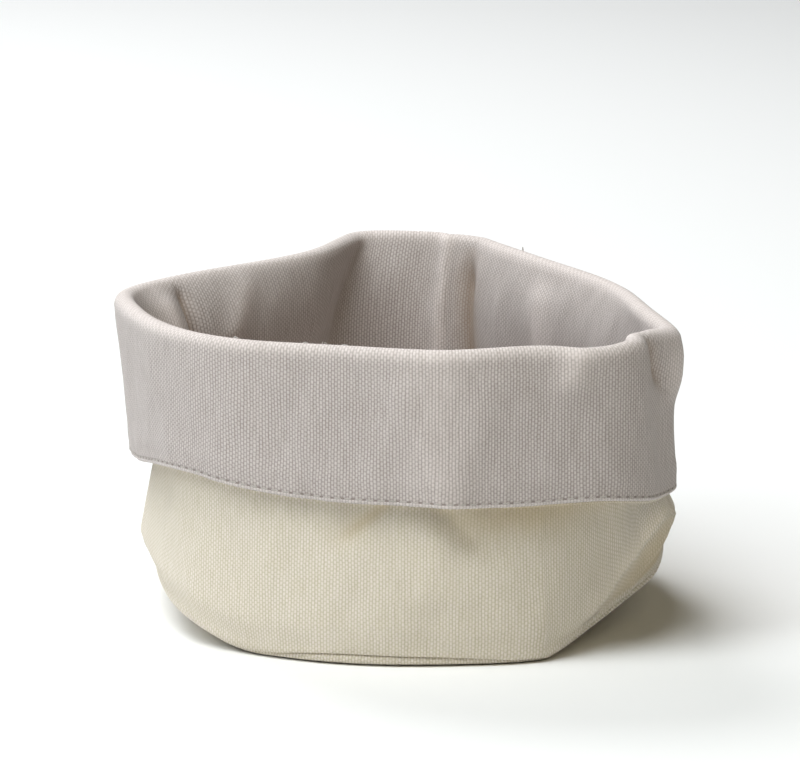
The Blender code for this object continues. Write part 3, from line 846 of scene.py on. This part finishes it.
def canvas(name, thread, hollow, stitched=False):
    """A plain weave whose upright threads stand proud, so that it shows columns of long grains.

    thread and hollow are the colours of the threads' tops and of the hollows between them.
    Each canvas is made once, and both its pieces have it.
    """
    if name in bpy.data.materials:
        return bpy.data.materials[name]
    sizes = bpy.context.scene.bag_cloth
    warp_threads = whole_threads(Rim().length[-1], sizes.thread_wide)
    nodes = Nodes(name, thread)
    place = nodes.add("ShaderNodeUVMap", {"uv_map": "cloth"})
    split = nodes.add("ShaderNodeSeparateXYZ", None, {0: place})
    across, up = split, Socket(nodes, split.socket.node.outputs[1])
    warp = across * warp_threads + nodes.noise(place, WARP_NOISE) * THREAD_WANDER
    weft = up * (1 / sizes.thread_tall) + nodes.noise(place, WEFT_NOISE, 3.0) * THREAD_WANDER
    upright = nodes.cosine(warp * math.pi)
    level = nodes.cosine(weft * math.pi)
    grain = nodes.clamped(1.0 + upright * level * GRAIN_FLAT)
    between = 1 - upright * upright
    furrow = between * between * between
    slub = nodes.noise(nodes.joined(across * SLUB_NOISE[0], up * SLUB_NOISE[1]), 1.0)
    speck = nodes.noise(nodes.joined(across, up * SPECK_TALL), SPECK_NOISE)
    height = BED + grain * GRAIN - furrow * FURROW + slub * SLUB + speck * SPECK
    patch = nodes.noise(place, PATCH_NOISE, 3.0) * PATCHY
    # the crest attribute: painted highlight above 0 pales the weave and flattens it, painted shade
    # below 0 darkens it
    crest = nodes.add("ShaderNodeAttribute", {"attribute_name": "crest"}, out=2)
    painted_light = nodes.clamped(crest)
    shade = nodes.clamped(height) * (1 - painted_light * HIGHLIGHT_FLAT) + painted_light * HIGHLIGHT_PALE + patch
    if stitched:
        hole, puffed = stitch_marks(nodes, across, up)
        # painted highlight on the puffed edge and painted shade in the needle holes
        shade = shade + puffed * PUFF_HIGHLIGHT - hole * HOLE_SHADE
        height = height - hole
    # painted shade in the hollows
    crease_shade = (part * share for part, share in zip(hollow, CREASE_SHADE))
    tone = nodes.mixed(shade, (*hollow, 1.0), (*thread, 1.0))
    tone = nodes.mixed(nodes.clamped(crest * -1.0) * CREASE_SHADE_SHARE, tone, (*crease_shade, 1.0))
    tone = nodes.add("ShaderNodeVectorMath", {"operation": "SCALE"}, {
        "Vector": tone, "Scale": 1 + painted_light * HIGHLIGHT_BRIGHT})
    bump = nodes.add("ShaderNodeBump", None, {
        "Strength": 1.0, "Distance": sizes.weave_depth, "Height": height})
    nodes.fill(nodes.shader, {
        "Base Color": tone, "Roughness": 0.9, "Specular IOR Level": 0.25, "Sheen Weight": 0.12,
        "Sheen Roughness": 0.5, "Normal": bump})
    return nodes.material


def whole_threads(length, wide):
    """Threads per metre that fit an even number of threads in the length."""
    return 2 * round(length / wide / 2) / length


def thread_material(name, colour):
    """Twisted sewing thread."""
    nodes = Nodes(name, colour)
    place = nodes.add("ShaderNodeTexCoord", None, None, out=3)
    tone = nodes.noise(place, TWIST_NOISE) * TWIST_CLEAR + 0.5
    dark = tuple(TWIST_DARK * part for part in colour)
    tone = nodes.mixed(tone, (*dark, 1.0), (*colour, 1.0))
    nodes.fill(nodes.shader, {"Base Color": tone, "Roughness": 0.8, "Specular IOR Level": 0.3})
    return nodes.material


def tube(bm, points, radii, sides):
    """A closed tube through points: a disc moved on and grown from one to the next."""
    order = bmesh.ops.create_circle(bm, cap_ends=True, segments=sides, radius=1.0)["verts"]
    face = order[0].link_faces[0]
    disc = [vert.co.copy() for vert in order]
    aims = unit(np.gradient(points, axis=0))
    for number, (point, radius, aim) in enumerate(zip(points, radii, aims)):
        if number:
            grown = bmesh.ops.extrude_face_region(bm, geom=[face], use_keep_orig=number == 1)
            face = next(item for item in grown["geom"] if isinstance(item, bmesh.types.BMFace))
            order = sorted(face.verts, key=lambda vert: nearest(vert.co, before))
        turn = Vector((0, 0, 1)).rotation_difference(Vector(aim)).to_matrix()
        for vert, spot in zip(order, disc):
            vert.co = Vector(point) + turn @ (spot * float(radius))
        before = [vert.co.copy() for vert in order]


def nearest(spot, places):
    """The number of the place that lies nearest to spot."""
    return min(range(len(places)), key=lambda number: (places[number] - spot).length_squared)


def stitch_line(count):
    """Where the stitches lie on the shared surface, four points to each, and the ways out of it."""
    fine = Cloth(count * 4)
    inset = bpy.context.scene.bag_stitches.inset
    rings = np.array([fine.above_mouth(inset + step * MM) for step in (0.5, 0.0, -0.5)])
    return rings[1] + SHIFT, unit(-offsets(rings)[1])


COLOUR = {"subtype": "COLOR", "size": 3, "min": 0.0, "max": 1.0}
LENGTH = {"subtype": "DISTANCE", "precision": 5}
POWER = {"subtype": "POWER", "min": 0.0, "max": 1000.0}


class BagCloth(bpy.types.PropertyGroup):
    """The two canvases."""

    cream: FloatVectorProperty(
        name="Cream thread", description="Colour of the outer canvas's threads",
        default=(0.86, 0.785, 0.725), **COLOUR)
    cream_hollow: FloatVectorProperty(
        name="Cream hollow", description="Colour between the outer canvas's threads",
        default=(0.545, 0.487, 0.33), **COLOUR)
    sand: FloatVectorProperty(
        name="Sand thread", description="Colour of the lining's threads",
        default=(0.675, 0.617, 0.597), **COLOUR)
    sand_hollow: FloatVectorProperty(
        name="Sand hollow", description="Colour between the lining's threads",
        default=(0.31, 0.263, 0.24), **COLOUR)
    thread_wide: FloatProperty(
        name="Thread width", description="From one upright thread to the next",
        default=1.24 * MM, min=0.2 * MM, max=4 * MM, **LENGTH)
    thread_tall: FloatProperty(
        name="Thread height", description="From one level thread to the next",
        default=0.885 * MM, min=0.2 * MM, max=4 * MM, **LENGTH)
    weave_depth: FloatProperty(
        name="Weave depth", description="How far the threads stand above the hollows",
        default=0.16 * MM, min=0.0, max=1 * MM, **LENGTH)


class BagStitches(bpy.types.PropertyGroup):
    """The sewing and the fibres."""

    colour: FloatVectorProperty(
        name="Thread colour", description="Colour of the topstitching",
        default=(0.62, 0.57, 0.53), **COLOUR)
    inset: FloatProperty(
        name="Inset", description="From the mouth's edge to the line of stitches",
        default=1.9 * MM, min=0.5 * MM, max=10 * MM, **LENGTH)
    pitch: FloatProperty(
        name="Stitch length", description="From one needle hole to the next",
        default=4.35 * MM, min=1 * MM, max=10 * MM, **LENGTH)
    thick: FloatProperty(
        name="Thread thickness", description="Thickness of the sewing thread",
        default=0.5 * MM, min=0.1 * MM, max=2 * MM, **LENGTH)
    fibre: FloatProperty(
        name="Fibre thickness", description="Thickness of the loose fibres on the rim",
        default=0.4 * MM, min=0.02 * MM, max=1 * MM, **LENGTH)
    fibre_colour: FloatVectorProperty(
        name="Fibre colour", description="Colour of the loose fibres on the rim",
        default=(0.85, 0.82, 0.79), **COLOUR)


class BagStage(bpy.types.PropertyGroup):
    """The floor and the lights."""

    floor: FloatVectorProperty(
        name="Floor", description="Colour of the floor",
        default=(0.93, 0.93, 0.925), **COLOUR)
    main: FloatProperty(
        name="Main light", description="Power of the light at the left front",
        default=27.0, **POWER)
    front: FloatProperty(
        name="Front light", description="Power of the light nearer the front",
        default=41.0, **POWER)
    right: FloatProperty(
        name="Right light", description="Power of the light at the right front",
        default=7.5, **POWER)
    back: FloatProperty(
        name="Back light", description="Power of the light at the left back",
        default=40.0, **POWER)


class BREADBAG_OT_outer(bpy.types.Operator):
    """Make the cream outer cloth: its wall and its base"""
    bl_idname = "breadbag.outer"
    bl_label = "Outer cloth"

    def execute(self, context):
        sizes = context.scene.bag_cloth
        material = canvas("cream_canvas_weave", sizes.cream, sizes.cream_hollow)
        wall = wall_sheet("outer_wall_cloth", 1, material)
        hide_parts("outer_wall")
        base = base_sheet("outer_base_cloth", 1, material)
        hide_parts("outer_base")
        for piece in (wall, base):
            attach(piece, "root")
        return {"FINISHED"}


class BREADBAG_OT_lining(bpy.types.Operator):
    """Make the sand lining: its wall, which is the cuff outside, and its base"""
    bl_idname = "breadbag.lining"
    bl_label = "Lining"

    def execute(self, context):
        sizes = context.scene.bag_cloth
        material = canvas("sand_canvas_weave", sizes.sand, sizes.sand_hollow, stitched=True)
        wall = wall_sheet("lining_wall_cloth", -1, material)
        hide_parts("lining_wall")
        base = base_sheet("lining_base_cloth", -1, material)
        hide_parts("lining_base")
        for piece in (wall, base):
            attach(piece, "root")
        return {"FINISHED"}


class BREADBAG_OT_topstitching(bpy.types.Operator):
    """Make the line of stitches along the mouth"""
    bl_idname = "breadbag.topstitching"
    bl_label = "Topstitching"

    def execute(self, context):
        stitches = context.scene.bag_stitches
        count = round(Rim().length[-1] / stitches.pitch)
        line, out = stitch_line(count)
        part, rise, thick = np.array(STITCH).T[..., None]
        bm = bmesh.new()
        for number in range(count):
            spots = (4 * number + np.arange(5)) % len(line)
            points = line[spots[0]] * (1 - part) + line[spots[-1]] * part
            points = points + out[spots] * (HALF_SPACE + rise * MM)
            tube(bm, points, thick[:, 0] * stitches.thick / 2, sides=6)
        thread = thread_material("sand_sewing_thread", stitches.colour)
        piece = finished(bm, "cuff_topstitching", thread)
        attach(piece, "root")
        return {"FINISHED"}


class BREADBAG_OT_fibres(bpy.types.Operator):
    """Make the loose fibres that stand off the rim"""
    bl_idname = "breadbag.fibres"
    bl_label = "Loose fibres"

    def execute(self, context):
        stitches = context.scene.bag_stitches
        cloth = Cloth(WALL_COLUMNS)
        bm = bmesh.new()
        part = np.linspace(0, 1, 6)[:, None]
        for fibre in FIBRES:
            rim = cloth.roll(fibre.turn)
            column = round(fibre.bearing / 360 * WALL_COLUMNS) % WALL_COLUMNS
            start = rim[column] + SHIFT + (0, 0, HALF_SPACE - FIBRE_SUNK)
            along = unit(rim[(column + 1) % WALL_COLUMNS] - rim[column])
            bow = fibre.middle - fibre.tip / 2
            rise = (fibre.tip * part + 4 * bow * part * (1 - part)) * MM * (0, 0, 1)
            points = start + along * fibre.along * MM * part + rise
            thick = np.interp(part[:, 0], (0, 1), FIBRE_ENDS)
            tube(bm, points, thick * stitches.fibre / 2, sides=5)
        piece = finished(bm, "loose_fibres", thread_material("pale_fibre", stitches.fibre_colour))
        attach(piece, "root")
        return {"FINISHED"}


class BREADBAG_OT_stage(bpy.types.Operator):
    """Make the floor, the light and the camera"""
    bl_idname = "breadbag.stage"
    bl_label = "Stage"

    def execute(self, context):
        scene, stage = context.scene, context.scene.bag_stage
        bm = bmesh.new()
        bmesh.ops.create_grid(bm, x_segments=1, y_segments=1, size=FLOOR_HALF)
        bmesh.ops.translate(bm, verts=bm.verts, vec=(0, 0, -FLOOR_GAP))
        nodes = Nodes("pale_floor", stage.floor)
        nodes.fill(nodes.shader, {
            "Base Color": (*stage.floor, 1.0), "Roughness": 0.9, "Specular IOR Level": 0.1})
        finished(bm, "floor", nodes.material)

        for lamp in LAMPS:
            self.area_light(lamp, getattr(stage, lamp.power))
        scene.view_settings.view_transform = "Standard"

        lens = bpy.data.cameras.new("camera")
        lens.sensor_width = 36.0
        lens.lens = LENS
        lens.clip_end = 20.0
        camera = bpy.data.objects.new("camera", lens)
        camera.location = np.add(CAMERA_PLACE, SHIFT)
        camera.rotation_euler = (math.radians(CAMERA_TILT), 0, 0)
        scene.collection.objects.link(camera)
        scene.camera = camera
        return {"FINISHED"}

    def area_light(self, lamp, power):
        """A large soft light that looks at the bag."""
        light = bpy.data.lights.new(lamp.power + "_light", "AREA")
        light.shape = "DISK"
        light.size = LAMP_SIZE
        light.energy = power
        light.color = lamp.colour
        holder = bpy.data.objects.new(light.name, light)
        bearing, height = math.radians(lamp.bearing), math.radians(lamp.height)
        ray = Vector((math.cos(height) * math.sin(bearing), -math.cos(height) * math.cos(bearing),
                      math.sin(height)))
        holder.location = ray * LAMP_DISTANCE
        holder.rotation_euler = ray.to_track_quat("Z", "Y").to_euler()
        bpy.context.scene.collection.objects.link(holder)


class BREADBAG_PT_panel(bpy.types.Panel):
    bl_idname = "BREADBAG_PT_panel"
    bl_label = "Bread bag"
    bl_space_type = "VIEW_3D"
    bl_region_type = "UI"
    bl_category = "Bread bag"

    def draw(self, context):
        layout = self.layout
        for group in (context.scene.bag_cloth, context.scene.bag_stitches, context.scene.bag_stage):
            for name in group.__annotations__:
                layout.prop(group, name)
        for operator in OPERATORS:
            layout.operator(operator.bl_idname)


GROUPS = {"bag_cloth": BagCloth, "bag_stitches": BagStitches, "bag_stage": BagStage}
OPERATORS = (BREADBAG_OT_outer, BREADBAG_OT_lining, BREADBAG_OT_topstitching,
             BREADBAG_OT_fibres, BREADBAG_OT_stage)
CLASSES = (*GROUPS.values(), *OPERATORS, BREADBAG_PT_panel)


def register():
    for item in CLASSES:
        bpy.utils.register_class(item)
    for name, group in GROUPS.items():
        setattr(bpy.types.Scene, name, PointerProperty(type=group))


def unregister():
    for name in GROUPS:
        delattr(bpy.types.Scene, name)
    for item in reversed(CLASSES):
        bpy.utils.unregister_class(item)


def main():
    register()
    for operator in OPERATORS:
        group, name = operator.bl_idname.split(".")
        getattr(getattr(bpy.ops, group), name)()
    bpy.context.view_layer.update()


if __name__ == "__main__":
    main()
